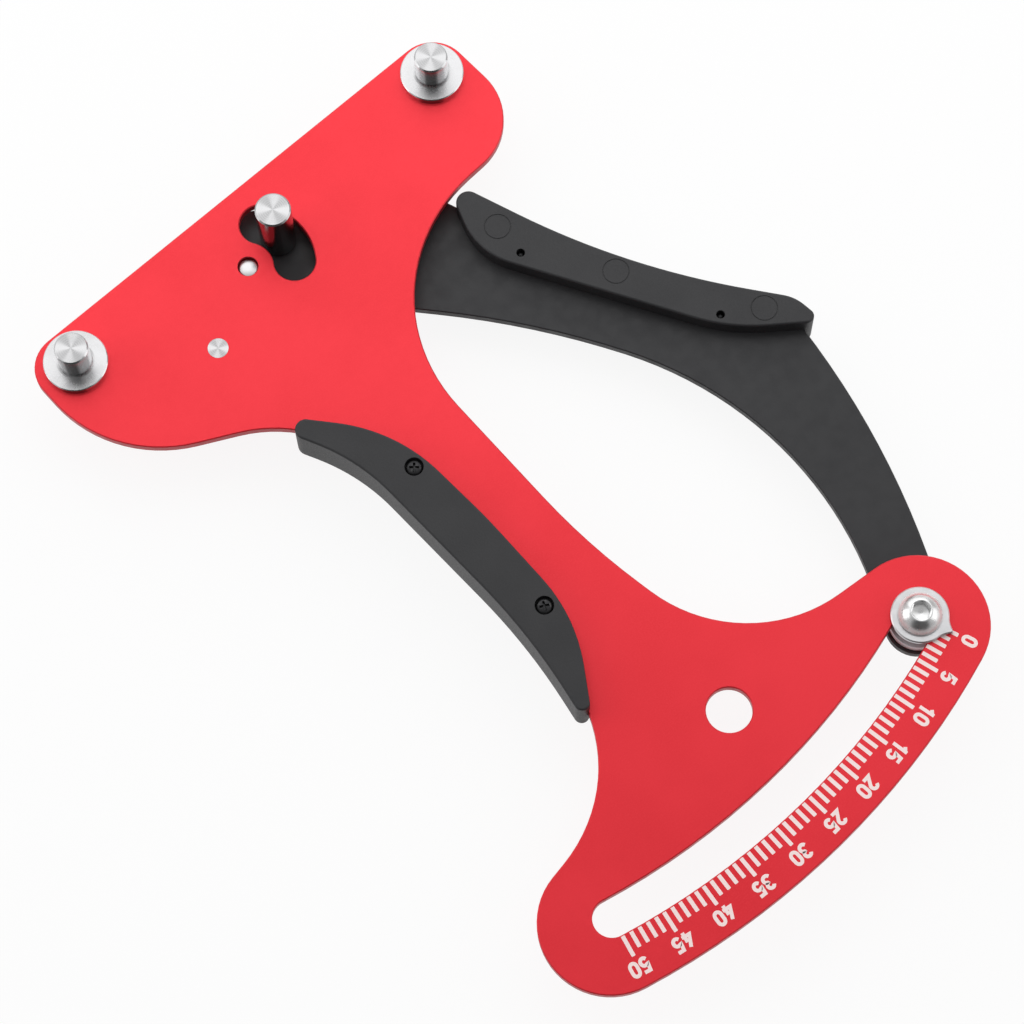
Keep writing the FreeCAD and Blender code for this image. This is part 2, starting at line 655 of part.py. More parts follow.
def grip_screw(place, seat_z, faces_back):
    head = rod((0, 0), GRIP_SCREW_HEAD_RADIUS, 0, GRIP_SCREW_HEAD_HEIGHT)
    head = head.makeFillet(GRIP_SCREW_HEAD_HEIGHT / 2, level_edges(head, GRIP_SCREW_HEAD_HEIGHT))
    floor = GRIP_SCREW_HEAD_HEIGHT - CROSS_DEPTH
    for length, width in ((CROSS_LENGTH, CROSS_WIDTH), (CROSS_WIDTH, CROSS_LENGTH)):
        corner = FreeCAD.Vector(-length / 2, -width / 2, floor)
        head = head.cut(Part.makeBox(length, width, CROSS_DEPTH + OVERRUN, corner))
    seat_depth = GRIP_HEIGHT - GRIP_RECESS_DEPTH
    length = seat_depth + PLATE_THICKNESS + GRIP_HEIGHT - GRIP_SCREW_TIP_RECESS
    screw = head.fuse(shank(GRIP_SCREW_RADIUS, length)).removeSplitter()
    return placed_screw(screw, place, seat_z, faces_back)


def frame_grip_screws():
    seat_z = GRIP_HEIGHT - GRIP_RECESS_DEPTH
    return [grip_screw(place, seat_z, False) for place in FRAME_SCREWS]


def lever_grip_screws():
    seat_z = LEVER_BACK - GRIP_HEIGHT + GRIP_RECESS_DEPTH
    return [grip_screw(place, seat_z, True) for place in LEVER_SCREWS]


# Pointer stack


def pointer_belt():
    tip = polar(SLOT_ARC_RADIUS + POINTER_TIP_DISTANCE - POINTER_TIP_RADIUS, ZERO_ANGLE)
    reach = POINTER_RADIUS + POINTER_FLANK_RADIUS
    flanks = []
    for side in (-1, 1):
        centre = shifted(POINTER, *polar(reach, ZERO_ANGLE + side * POINTER_FLANK_ANGLE))
        flanks.append(circle(centre, POINTER_FLANK_RADIUS, HOLLOW))
    return [circle(POINTER, POINTER_RADIUS), flanks[0], circle(tip, POINTER_TIP_RADIUS), flanks[1]]


def pointer_washer():
    low = POINTER_LIFT
    high = low + POINTER_THICKNESS
    washer = prism(pointer_belt(), low, high)
    washer = washer.makeChamfer(EDGE_BREAK, level_edges(washer, high))
    return washer.cut(rod(POINTER, POINTER_SCREW_RADIUS + FIT_PLAY, low - OVERRUN, high + OVERRUN))


def slot_bush():
    flange_top = -PLATE_THICKNESS - SLOT_BUSH_FLANGE_PLAY
    bush = rod(POINTER, POINTER_RADIUS, flange_top - SLOT_BUSH_FLANGE, flange_top)
    bush = bush.fuse(rod(POINTER, SLOT_BUSH_RADIUS, flange_top - SLOT_BUSH_FLANGE, POINTER_LIFT)).removeSplitter()
    return bush.cut(rod(POINTER, POINTER_SCREW_RADIUS + FIT_PLAY, LEVER_FRONT - OVERRUN, OVERRUN))


def slot_washer():
    high = -PLATE_THICKNESS - SLOT_BUSH_FLANGE_PLAY - SLOT_BUSH_FLANGE
    return ring_solid(POINTER, POINTER_SCREW_RADIUS + FIT_PLAY, SLOT_WASHER_RADIUS, LEVER_FRONT, high)


def pointer_screw():
    seat_z = POINTER_LIFT + POINTER_THICKNESS
    head = domed_head(POINTER_HEAD_RADIUS, POINTER_HEAD_HEIGHT, POINTER_SOCKET_WIDTH, POINTER_SOCKET_DEPTH)
    length = seat_z - LEVER_BACK + NUT_HEIGHT + NUT_STICK_OUT
    screw = head.fuse(shank(POINTER_SCREW_RADIUS, length)).removeSplitter()
    return placed_screw(screw, POINTER, seat_z, False)


def pointer_nut():
    low = LEVER_BACK - NUT_HEIGHT
    nut = hex_prism(POINTER, NUT_WIDTH, low, LEVER_BACK)
    corner = NUT_WIDTH / 2 / math.cos(math.radians(HALF_TURN / HEX_SIDES))
    cone_height = corner - NUT_WIDTH / 2
    crown = turned(
        POINTER,
        [
            (0, low),
            (NUT_WIDTH / 2, low),
            (corner, low + cone_height / 2),
            (corner, LEVER_BACK - cone_height / 2),
            (NUT_WIDTH / 2, LEVER_BACK),
            (0, LEVER_BACK),
        ],
    )
    return nut.common(crown).cut(rod(POINTER, POINTER_SCREW_RADIUS + FIT_PLAY, low - OVERRUN, LEVER_BACK + OVERRUN))


# Return spring: a hook round each stud, a straight run, a bend, and the coil between them


def spring_lead():
    return math.atan2(SPRING_PITCH, 2 * math.pi * COIL_RADIUS)


def hook_plane_z():
    turn = math.radians(QUARTER_TURN) - spring_lead()
    return SPRING_AXIS_Z - SPRING_BEND_RADIUS * (1 - math.cos(turn))


def spring_frame():
    span = math.dist(ANCHOR, LEVER_STUD)
    along = FreeCAD.Vector((LEVER_STUD[0] - ANCHOR[0]) / span, (LEVER_STUD[1] - ANCHOR[1]) / span, 0)
    across = FreeCAD.Vector(-along.y, along.x, 0)
    return span, along, across


def spring_point(along_distance, across_distance, z):
    _, along, across = spring_frame()
    return point(ANCHOR) + along * along_distance + across * across_distance + FreeCAD.Vector(0, 0, z)


def coil_start():
    span = math.dist(ANCHOR, LEVER_STUD)
    return (span - SPRING_PITCH * (SPRING_TURNS + 1 / 2)) / 2


def coil_state(quarter):
    turn = math.radians(QUARTER_TURN * quarter)
    _, along, across = spring_frame()
    place = spring_point(
        coil_start() + SPRING_PITCH * quarter / 4,
        COIL_RADIUS * math.cos(turn),
        SPRING_AXIS_Z + COIL_RADIUS * math.sin(turn),
    )
    round_way = across * (-math.sin(turn)) + FreeCAD.Vector(0, 0, math.cos(turn))
    heading = round_way * math.cos(spring_lead()) + along * math.sin(spring_lead())
    return place, heading


def tangent_arc(start, corner, end):
    chord_middle = (start + end) * (1 / 2)
    rise = corner - chord_middle
    half_chord = (end - start).Length / 2
    radius = half_chord * (corner - start).Length / rise.Length
    sag = radius - math.sqrt(radius * radius - half_chord * half_chord)
    middle = chord_middle + rise * (sag / rise.Length)
    return Part.Arc(start, middle, end).toShape()


def biarc(start, start_heading, end, end_heading):
    gap = end - start
    headings = start_heading + end_heading
    square = 2 * (1 - start_heading.dot(end_heading))
    linear = 2 * gap.dot(headings)
    reach = (math.sqrt(linear * linear + 4 * square * gap.dot(gap)) - linear) / (2 * square)
    first_corner = start + start_heading * reach
    last_corner = end - end_heading * reach
    joint = (first_corner + last_corner) * (1 / 2)
    return [tangent_arc(start, first_corner, joint), tangent_arc(joint, last_corner, end)]


def hook_edges(stud_distance, outward):
    """The hook of one end: its wrap round the stud, its straight run and its bend, from the free end in."""
    side = -outward
    plane_z = hook_plane_z()
    turn = math.radians(QUARTER_TURN) - spring_lead()
    bend_length = SPRING_BEND_RADIUS * math.sin(turn)
    coil_distance = coil_start() if outward < 0 else math.dist(ANCHOR, LEVER_STUD) - coil_start()
    bend_distance = coil_distance + outward * bend_length

    def wrap_point(share):
        angle = math.radians(HOOK_WRAP * share)
        along_distance = stud_distance + outward * COIL_RADIUS * math.sin(angle)
        return spring_point(along_distance, side * COIL_RADIUS * math.cos(angle), plane_z)

    wrap = [
        Part.Arc(wrap_point(1), wrap_point(3 / 4), wrap_point(1 / 2)).toShape(),
        Part.Arc(wrap_point(1 / 2), wrap_point(1 / 4), wrap_point(0)).toShape(),
    ]
    straight_end = spring_point(bend_distance, side * COIL_RADIUS, plane_z)
    straight = Part.makeLine(wrap_point(0), straight_end)
    middle_turn = turn / 2
    bend_middle_point = spring_point(
        bend_distance - outward * SPRING_BEND_RADIUS * math.sin(middle_turn),
        side * COIL_RADIUS,
        plane_z + SPRING_BEND_RADIUS * (1 - math.cos(middle_turn)),
    )
    coil_end = spring_point(coil_distance, side * COIL_RADIUS, SPRING_AXIS_Z)
    return wrap + [straight, Part.Arc(straight_end, bend_middle_point, coil_end).toShape()]


def spring_path():
    edges = hook_edges(0, -1)
    for quarter in range(4 * SPRING_TURNS + 2):
        edges += biarc(*coil_state(quarter), *coil_state(quarter + 1))
    return Part.Wire(edges + hook_edges(math.dist(ANCHOR, LEVER_STUD), 1)[::-1])


def least_gap(path):
    places = path.discretize(Distance=SPRING_SAMPLE_STEP)
    apart = int(math.pi * COIL_RADIUS / SPRING_SAMPLE_STEP)
    pairs = ((a, b) for i, a in enumerate(places) for b in places[i + apart :])
    return min((a - b).Length for a, b in pairs) - SPRING_WIRE


def return_spring():
    path = spring_path()
    start = path.Edges[0]
    heading = start.tangentAt(start.FirstParameter)
    section = Part.Wire(Part.makeCircle(SPRING_WIRE / 2, start.valueAt(start.FirstParameter), heading))
    gap = least_gap(path)
    print("least gap of the spring to itself %.3f mm, wanted over %.1f mm" % (gap, LEAST_SPRING_GAP))
    return path.makePipeShell([section], True, False)


def groove_heights():
    half = SPRING_WIRE / 2 + GROOVE_PLAY
    return hook_plane_z() - half, hook_plane_z() + half


def stud_end_z():
    return groove_heights()[0] - STUD_HEAD_THICKNESS


def grooved_stud(place, high):
    groove_low, groove_high = groove_heights()
    end = stud_end_z()
    profile = [
        (0, high),
        (STUD_RADIUS, high),
        (STUD_RADIUS, groove_high),
        (GROOVE_RADIUS, groove_high),
        (GROOVE_RADIUS, groove_low),
        (STUD_HEAD_RADIUS, groove_low),
        (STUD_HEAD_RADIUS, end + EDGE_BREAK),
        (STUD_HEAD_RADIUS - EDGE_BREAK, end),
        (0, end),
    ]
    return turned(place, profile)


def spring_anchor_stud():
    return grooved_stud(ANCHOR, 0)


def spring_lever_stud():
    tenon = rod(LEVER_STUD, STUD_TENON_RADIUS, LEVER_BACK, LEVER_FRONT)
    return grooved_stud(LEVER_STUD, LEVER_BACK).fuse(tenon).removeSplitter()


def all_parts():
    return {
        "frame_plate": [frame_plate()],
        "fixed_post_left": [fixed_post(LEFT_POST)],
        "fixed_post_right": [fixed_post(RIGHT_POST)],
        "fixed_post_screws": [
            post_screw(place, -PLATE_THICKNESS, PLATE_THICKNESS) for place in (LEFT_POST, RIGHT_POST)
        ],
        "frame_grip_front": [frame_grip_front()],
        "frame_grip_rear": [frame_grip_rear()],
        "frame_grip_screws": frame_grip_screws(),
        "spring_anchor_stud": [spring_anchor_stud()],
        "pivot_screw": [pivot_screw()],
        "pivot_spacer": [pivot_spacer()],
        "pivot_washer": [pivot_washer()],
        "return_spring": [return_spring()],
        "lever_plate": [lever_plate()],
        "moving_post": [moving_post()],
        "moving_post_screw": [post_screw(MOVING_POST, LEVER_BACK, LEVER_THICKNESS)],
        "spring_lever_stud": [spring_lever_stud()],
        "lever_grip_front": [lever_grip_front()],
        "lever_grip_rear": [lever_grip_rear()],
        "lever_grip_screws": lever_grip_screws(),
        "slot_washer": [slot_washer()],
        "slot_bush": [slot_bush()],
        "pointer_washer": [pointer_washer()],
        "pointer_screw": [pointer_screw()],
        "pointer_nut": [pointer_nut()],
    }


def export(parts):
    """Each node goes to its own file, moved so that the origin is the middle of the part's base."""
    whole = Part.makeCompound([solid for solids in parts.values() for solid in solids])
    box = whole.optimalBoundingBox(False)
    to_base = FreeCAD.Vector(-(box.XMin + box.XMax) / 2, -(box.YMin + box.YMax) / 2, -box.ZMin)
    print("pivot axis and front face at x %.4f y %.4f z %.4f" % tuple(to_base))
    for name, solids in parts.items():
        moved = [solid.translated(to_base) for solid in solids]
        shape = moved[0] if len(moved) == 1 else Part.makeCompound(moved)
        shape.exportStep("parts/%s.step" % name)
        print(name, len(shape.Solids), "solids, volume %.1f, valid %s" % (shape.Volume, shape.isValid()))


export(all_parts())
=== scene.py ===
import json
import math
import bmesh
import bpy
from mathutils import Matrix, Vector


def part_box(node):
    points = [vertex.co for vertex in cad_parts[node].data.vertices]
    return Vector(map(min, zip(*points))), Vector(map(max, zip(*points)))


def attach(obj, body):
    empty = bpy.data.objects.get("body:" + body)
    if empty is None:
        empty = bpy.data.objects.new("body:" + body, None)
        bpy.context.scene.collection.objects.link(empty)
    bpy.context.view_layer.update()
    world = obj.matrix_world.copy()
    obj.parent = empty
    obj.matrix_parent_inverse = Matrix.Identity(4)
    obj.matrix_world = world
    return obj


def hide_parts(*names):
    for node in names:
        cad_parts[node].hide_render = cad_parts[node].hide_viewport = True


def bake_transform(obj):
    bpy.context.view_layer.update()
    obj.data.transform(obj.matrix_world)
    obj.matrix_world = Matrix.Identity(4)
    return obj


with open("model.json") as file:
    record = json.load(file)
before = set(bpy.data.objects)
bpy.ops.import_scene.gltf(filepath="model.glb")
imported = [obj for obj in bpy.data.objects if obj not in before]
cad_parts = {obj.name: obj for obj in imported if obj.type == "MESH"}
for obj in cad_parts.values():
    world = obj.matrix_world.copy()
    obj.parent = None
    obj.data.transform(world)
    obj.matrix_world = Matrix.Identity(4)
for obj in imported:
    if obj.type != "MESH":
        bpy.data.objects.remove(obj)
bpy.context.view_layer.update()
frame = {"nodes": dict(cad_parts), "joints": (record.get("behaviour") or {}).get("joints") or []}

# Spoke tension meter. Lengths are in millimetres from the pivot axis and the front face.
MM = 0.001
PIVOT_X, PIVOT_Y = frame["joints"][0]["pos_m"][:2]
FRONT_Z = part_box("frame_plate")[1].z


def at(x, y, z=0.0):
    return Vector((PIVOT_X + x * MM, PIVOT_Y + y * MM, FRONT_Z + z * MM))


def polar(radius, degrees):
    turn = math.radians(degrees)
    return radius * math.cos(turn), radius * math.sin(turn)


# Materials


class Shader:
    """A Principled material with small helpers for its procedural detail."""

    def __init__(self, name, color, roughness, metallic=0.0, **sockets):
        self.material = bpy.data.materials.new(name)
        self.material.use_nodes = True
        self.tree = self.material.node_tree
        self.main = self.tree.nodes["Principled BSDF"]
        self.place = self.node("ShaderNodeTexCoord").outputs["Object"]
        self.main.inputs["Base Color"].default_value = (*color, 1)
        self.main.inputs["Roughness"].default_value = roughness
        self.main.inputs["Metallic"].default_value = metallic
        for socket, value in sockets.items():
            self.main.inputs[socket.replace("_", " ")].default_value = value
        self.bump_out = None

    def node(self, kind, **values):
        made = self.tree.nodes.new(kind)
        for key, value in values.items():
            setattr(made, key, value)
        return made

    def link(self, out, into):
        self.tree.links.new(out, into)

    def noise(self, scale, detail, roughness=0.5, vector=None):
        made = self.node("ShaderNodeTexNoise")
        made.inputs["Scale"].default_value = scale
        made.inputs["Detail"].default_value = detail
        made.inputs["Roughness"].default_value = roughness
        self.link(vector or self.place, made.inputs["Vector"])
        return made.outputs["Fac"]

    def stretched(self, x, y, z):
        made = self.node("ShaderNodeMapping")
        made.inputs["Scale"].default_value = (x, y, z)
        self.link(self.place, made.inputs["Vector"])
        return made.outputs["Vector"]

    def math(self, operation, a, b=None):
        made = self.node("ShaderNodeMath", operation=operation)
        for socket, value in zip(made.inputs, (a, b)):
            if value is None:
                continue
            if isinstance(value, (int, float)):
                socket.default_value = value
            else:
                self.link(value, socket)
        return made.outputs[0]

    def spread(self, value, low, high, to_low, to_high):
        made = self.node("ShaderNodeMapRange", interpolation_type="SMOOTHSTEP")
        for socket, number in zip(list(made.inputs)[1:5], (low, high, to_low, to_high)):
            socket.default_value = number
        self.link(value, made.inputs["Value"])
        return made.outputs["Result"]

    def clouds(self, scale, detail, low=0, high=1):
        """Soft noise spread from a low to a high value."""
        return self.spread(self.noise(scale, detail), 0.3, 0.7, low, high)

    def mix(self, factor, a, b):
        made = self.node("ShaderNodeMix", data_type="RGBA")
        self.link(factor, made.inputs["Factor"])
        for socket, value in ((made.inputs[6], a), (made.inputs[7], b)):
            if isinstance(value, tuple):
                socket.default_value = (*value, 1)
            else:
                self.link(value, socket)
        return made.outputs[2]

    def mix_number(self, factor, a, b):
        made = self.node("ShaderNodeMix", data_type="FLOAT")
        self.link(factor, made.inputs["Factor"])
        for socket, value in ((made.inputs[2], a), (made.inputs[3], b)):
            if isinstance(value, (int, float)):
                socket.default_value = value
            else:
                self.link(value, socket)
        return made.outputs[0]

    def paint(self, out):
        self.link(out, self.main.inputs["Base Color"])

    def shine(self, out):
        self.link(out, self.main.inputs["Roughness"])

    def bump(self, height, distance, strength):
        made = self.node("ShaderNodeBump")
        made.inputs["Distance"].default_value = distance
        made.inputs["Strength"].default_value = strength
        self.link(height, made.inputs["Height"])
        if self.bump_out:
            self.link(self.bump_out, made.inputs["Normal"])
        self.bump_out = made.outputs["Normal"]
        self.link(self.bump_out, self.main.inputs["Normal"])

    def upright(self):
        """0 on faces that look up or down, 1 on upright walls."""
        parts = self.node("ShaderNodeSeparateXYZ")
        self.link(self.node("ShaderNodeNewGeometry").outputs["Normal"], parts.inputs[0])
        return self.spread(self.math("ABSOLUTE", parts.outputs["Z"]), 0.35, 0.9, 1.0, 0.0)

    def from_axis(self, centre):
        """X and Y distances from an upright axis, in metres."""
        parts = self.node("ShaderNodeSeparateXYZ")
        self.link(self.place, parts.inputs[0])
        return [self.math("SUBTRACT", parts.outputs[axis], value) for axis, value in zip("XY", centre)]

    def radius_from(self, centre):
        """Distance from an upright axis, in metres."""
        dx, dy = self.from_axis(centre)
        squares = self.math("ADD", self.math("MULTIPLY", dx, dx), self.math("MULTIPLY", dy, dy))
        return self.math("SQRT", squares)

    def turn_from(self, centre, azimuth):
        """Angle round an upright axis, counted from an azimuth in degrees."""
        dx, dy = self.from_axis(centre)
        return self.math("SUBTRACT", self.math("ARCTAN2", dy, dx), math.radians(azimuth))

    def lobes_about(self, centre, count, azimuth):
        """1 along some directions round an upright axis, 0 halfway between; only on faces that look up."""
        turn = self.turn_from(centre, azimuth)
        wave = self.spread(self.math("COSINE", self.math("MULTIPLY", turn, count)), -1, 1, 0, 1)
        return self.math("MULTIPLY", wave, self.math("SUBTRACT", 1.0, self.upright()))

    def side_towards(self, centre, azimuth, half):
        """1 on the side of an upright axis that looks one way, 0 beyond half a width in degrees."""
        rim, core = math.cos(math.radians(half)), math.cos(math.radians(half / 2))
        return self.spread(self.math("COSINE", self.turn_from(centre, azimuth)), rim, core, 0, 1)


def toned(color, factor):
    return tuple(min(1.0, c * factor) for c in color)


def red_anodised():
    s = Shader("red_anodised", (0.80, 0.028, 0.042), 0.40, metallic=0.4, Specular_IOR_Level=0.35)
    cloud = s.noise(38, 3.0)
    grain = s.noise(2600, 2.0)
    face = s.mix(s.spread(cloud, 0.3, 0.7, 0, 1), (0.78, 0.025, 0.038), (0.83, 0.030, 0.045))
    face = s.mix(s.spread(grain, 0.35, 0.75, 0, 0.3), face, (0.86, 0.045, 0.06))
    streak = s.noise(900, 3.0, vector=s.stretched(1, 1, 12))
    # Painted shade: the plate's upright walls are painted darker than its face
    wall = s.mix(s.spread(streak, 0.3, 0.7, 0, 1), (0.36, 0.016, 0.024), (0.50, 0.028, 0.038))
    s.paint(s.mix(s.upright(), face, wall))
    s.shine(s.clouds(700, 3.0, 0.36, 0.44))
    s.bump(grain, 0.000012, 0.35)
    s.bump(s.noise(9000, 1.0), 0.000005, 0.3)
    return s.material


def black_plate():
    s = Shader("black_plate", (0.026, 0.026, 0.028), 0.5, metallic=0.1, Specular_IOR_Level=0.35)
    orange = s.noise(1500, 2.0)
    face = s.mix(s.clouds(60, 2.0), (0.025, 0.025, 0.027), (0.028, 0.028, 0.030))
    rub = s.spread(s.noise(420, 5.0), 0.62, 0.8, 0, 0.3)
    s.paint(s.mix(rub, face, (0.034, 0.033, 0.034)))
    s.shine(s.clouds(300, 3.0, 0.44, 0.56))
    s.bump(orange, 0.00003, 0.35)
    return s.material


def black_plastic():
    s = Shader("black_plastic", (0.027, 0.027, 0.029), 0.52, Specular_IOR_Level=0.35)
    grain = s.noise(3200, 3.0, 0.6)
    pits = s.node("ShaderNodeTexVoronoi", feature="SMOOTH_F1")
    pits.inputs["Scale"].default_value = 1700
    s.link(s.place, pits.inputs["Vector"])
    s.paint(s.mix(s.clouds(90, 3.0), (0.025, 0.025, 0.027), (0.029, 0.029, 0.031)))
    s.shine(s.spread(grain, 0.3, 0.7, 0.44, 0.6))
    s.bump(pits.outputs["Distance"], 0.00004, 0.3)
    s.bump(grain, 0.00002, 0.4)
    return s.material


# Turned pieces, in metres and degrees
TURNED_COLOR, TURNED_ROUGHNESS = (0.37, 0.37, 0.375), 0.26
RING_PITCH, RING_WANDER = 0.00052, 0.0002
# Painted highlight: lighter sectors painted on the top faces of the turned pieces
PAINTED_HIGHLIGHT_SECTORS, PAINTED_HIGHLIGHT_AZIMUTH = 4, 43
# Painted shade: a darker band on the walls of the turned pieces, round this azimuth
SHADED_AZIMUTH, SHADED_HALF = -132, 27
# Painted highlight: the flange, from FLANGE_START outwards, is painted lighter
FLANGE_START, FLANGE_FULL = 0.0043, 0.0047
WALL_ROUGHNESS = 0.18


def turned_steel(name, centre, wall_highlight_tone=2.1):
    """Turned steel: faint rings round the piece's axis, painted highlight sectors on its top, a painted
    highlight on its flange, and walls painted lighter with a painted shaded side.
    """
    color, rough = TURNED_COLOR, TURNED_ROUGHNESS
    s = Shader(name, color, rough, metallic=1.0, Anisotropic=0.85, Anisotropic_Rotation=0.25)
    tangent = s.node("ShaderNodeTangent", direction_type="RADIAL", axis="Z")
    s.link(tangent.outputs[0], s.main.inputs["Tangent"])
    radius = s.radius_from(centre)
    wander = s.math("MULTIPLY", s.noise(300, 1.0), RING_WANDER)
    rings = s.math("SINE", s.math("MULTIPLY", s.math("ADD", radius, wander), 2 * math.pi / RING_PITCH))
    ringed = s.mix(s.spread(rings, -1, 1, 0, 1), toned(color, 0.93), toned(color, 1.05))
    # Painted highlight: lighter sectors on the faces that look up
    painted_highlight_sectors = s.mix(s.lobes_about(centre, PAINTED_HIGHLIGHT_SECTORS, PAINTED_HIGHLIGHT_AZIMUTH), ringed, toned(color, 1.4))
    # Painted highlight: the flange's top painted lighter than the post's top
    level = s.mix(s.spread(radius, FLANGE_START, FLANGE_FULL, 0, 1), painted_highlight_sectors, toned(color, 1.45))
    # Painted light on the walls: a painted highlight that lightens them, and a painted shaded band on one
    # side
    shade = s.side_towards(centre, SHADED_AZIMUTH, SHADED_HALF)
    side = s.mix(shade, toned(color, wall_highlight_tone), toned(color, 0.6))
    upright = s.upright()
    s.paint(s.mix(upright, level, side))
    brushed = s.clouds(420, 2.0, rough - 0.02, rough + 0.03)
    s.shine(s.mix_number(upright, brushed, WALL_ROUGHNESS))
    s.link(s.spread(upright, 0, 1, 0.85, 0.2), s.main.inputs["Anisotropic"])
    s.bump(rings, 0.0000008, 0.2)
    return s.material


def zinc_steel(name="zinc_steel", roughness=0.34, tint=(0.64, 0.64, 0.65), metallic=1.0, dull_sides=False):
    """Plated or polished steel with faint clouds; dull sides mirror less of what lies beside the piece."""
    s = Shader(name, tint, roughness, metallic=metallic)
    s.paint(s.mix(s.clouds(300, 3.0), toned(tint, 0.95), toned(tint, 1.05)))
    s.shine(s.clouds(500, 3.0, roughness - 0.02, roughness + 0.04))
    s.bump(s.noise(1500, 2.0), 0.000003, 0.15)
    if dull_sides:
        s.link(s.spread(s.upright(), 0.25, 0.6, 1.0, 0.25), s.main.inputs["Metallic"])
    return s.material


def spring_wire():
    s = Shader("spring_wire", (0.56, 0.56, 0.57), 0.3, metallic=1.0)
    drawn = s.noise(2400, 3.0)
    s.paint(s.mix(s.clouds(300, 3.0), (0.47, 0.47, 0.48), (0.62, 0.62, 0.63)))
    s.shine(s.spread(drawn, 0.3, 0.7, 0.22, 0.4))
    s.bump(drawn, 0.00002, 0.3)
    return s.material


def black_screw():
    s = Shader("black_screw", (0.035, 0.035, 0.037), 0.34, metallic=0.75)
    worn = s.spread(s.noise(1300, 4.0), 0.55, 0.72, 0, 0.6)
    s.paint(s.mix(worn, (0.030, 0.030, 0.032), (0.10, 0.098, 0.096)))
    s.shine(s.clouds(2000, 2.0, 0.28, 0.42))
    s.bump(s.noise(3500, 2.0), 0.00001, 0.3)
    return s.material


def scale_print():
    s = Shader("scale_print", (1.0, 0.82, 0.80), 0.55)
    thin = s.spread(s.noise(2400, 3.0), 0.5, 0.85, 0, 0.2)
    s.paint(s.mix(thin, (1.0, 0.82, 0.80), (0.95, 0.68, 0.66)))
    s.shine(s.clouds(1800, 2.0, 0.48, 0.62))
    s.bump(s.noise(3000, 2.0), 0.000006, 0.3)
    return s.material


RED = red_anodised()
LEVER_BLACK = black_plate()
PLASTIC = black_plastic()
ZINC = zinc_steel()
BUSH = zinc_steel("slot_bush_steel", 0.5, (0.62, 0.60, 0.62), metallic=0.2)
WIRE = spring_wire()
BLACK_SCREW = black_screw()
PRINT = scale_print()


def axis_of(node):
    low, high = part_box(node)
    return (low.x + high.x) / 2, (low.y + high.y) / 2


def finish_node(node, material):
    mesh = frame["nodes"][node].data
    mesh.materials.clear()
    mesh.materials.append(material)


TURNED = (
    "fixed_post_left", "fixed_post_right", "spring_anchor_stud", "spring_lever_stud",
    "pivot_spacer", "pivot_washer",
)
for node in TURNED:
    finish_node(node, turned_steel("turned_" + node, axis_of(node)))
finish_node("moving_post", turned_steel("turned_moving_post", axis_of("moving_post"), wall_highlight_tone=1.0))
finish_node("frame_plate", RED)
finish_node("lever_plate", LEVER_BLACK)
for node in ("frame_grip_front", "frame_grip_rear", "lever_grip_front", "lever_grip_rear"):
    finish_node(node, PLASTIC)
for node in ("pointer_washer", "pointer_nut"):
    finish_node(node, ZINC)
for node in ("slot_washer", "slot_bush"):
    finish_node(node, BUSH)

# Mesh helpers


def piece(name, bm, material, body, smooth):
    """Makes the object; edges sharper than the smooth angle stay sharp, and None leaves all faces flat."""
    bmesh.ops.recalc_face_normals(bm, faces=bm.faces)
    mesh = bpy.data.meshes.new(name)
    bm.to_mesh(mesh)
    bm.free()
    mesh.materials.append(material)
    if smooth is not None:
        mesh.shade_smooth()
        mesh.set_sharp_from_angle(angle=math.radians(smooth))
    made = bpy.data.objects.new(name, mesh)
    bpy.context.scene.collection.objects.link(made)
    if body:
        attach(made, body)
    return made


def add_rings(bm, rings):
    """Skins a list of rings of points, each with the same count, and caps both ends."""
    made = [[bm.verts.new(p) for p in ring] for ring in rings]
    count = len(made[0])
    for a, b in zip(made, made[1:]):
        for i in range(count):
            j = (i + 1) % count
            bm.faces.new((a[i], a[j], b[j], b[i]))
    bm.faces.new(made[0][::-1])
    bm.faces.new(made[-1])


def full_turn(count):
    return [2 * math.pi * i / count for i in range(count)]


HEAD_SEGMENTS, CROSS_HEAD_SEGMENTS, WIRE_SEGMENTS = 72, 48, 16


def circle(radius, z, count=HEAD_SEGMENTS):
    return [(radius * math.cos(t), radius * math.sin(t), z) for t in full_turn(count)]


def hexagon(width, z):
    """A ring of points along a hexagon's sides."""
    sector = math.radians(60)
    ring = []
    for t in full_turn(HEAD_SEGMENTS):
        reach = width / 2 / math.cos((t + sector / 2) % sector - sector / 2)
        ring.append((reach * math.cos(t), reach * math.sin(t), z))
    return ring


DOME_STEPS, THREAD_STEPS = 12, 8


def socket_rings(width, head_height, depth):
    """Hexagon socket from its drilled point up to the bevelled mouth."""
    floor = head_height - depth
    return [
        circle(width * 0.04, floor - 0.12 * width),
        circle(width * 0.40, floor),
        hexagon(width * 0.985, floor),
        hexagon(width, floor + 0.06),
        hexagon(width, head_height - 0.16),
        circle(width * 0.585, head_height - 0.02),
        circle(width * 0.60, head_height),
    ]


def dome_rings(head_radius, head_height):
    """Flat ring on the head's top, the spherical dome and the rim below it."""
    face = head_radius / 2
    rim = head_height / 5
    middle = (head_height + rim - (head_radius ** 2 - face ** 2) / (head_height - rim)) / 2
    dome = math.hypot(head_radius, rim - middle)
    rings = [circle(face * 0.97, head_height)]
    first, last = math.asin(face / dome), math.asin(head_radius / dome)
    for step in range(DOME_STEPS + 1):
        turn = first + (last - first) * step / DOME_STEPS
        rings.append(circle(dome * math.sin(turn), middle + dome * math.cos(turn)))
    return rings + [circle(head_radius, rim * 0.35), circle(head_radius - rim * 0.3, 0)]


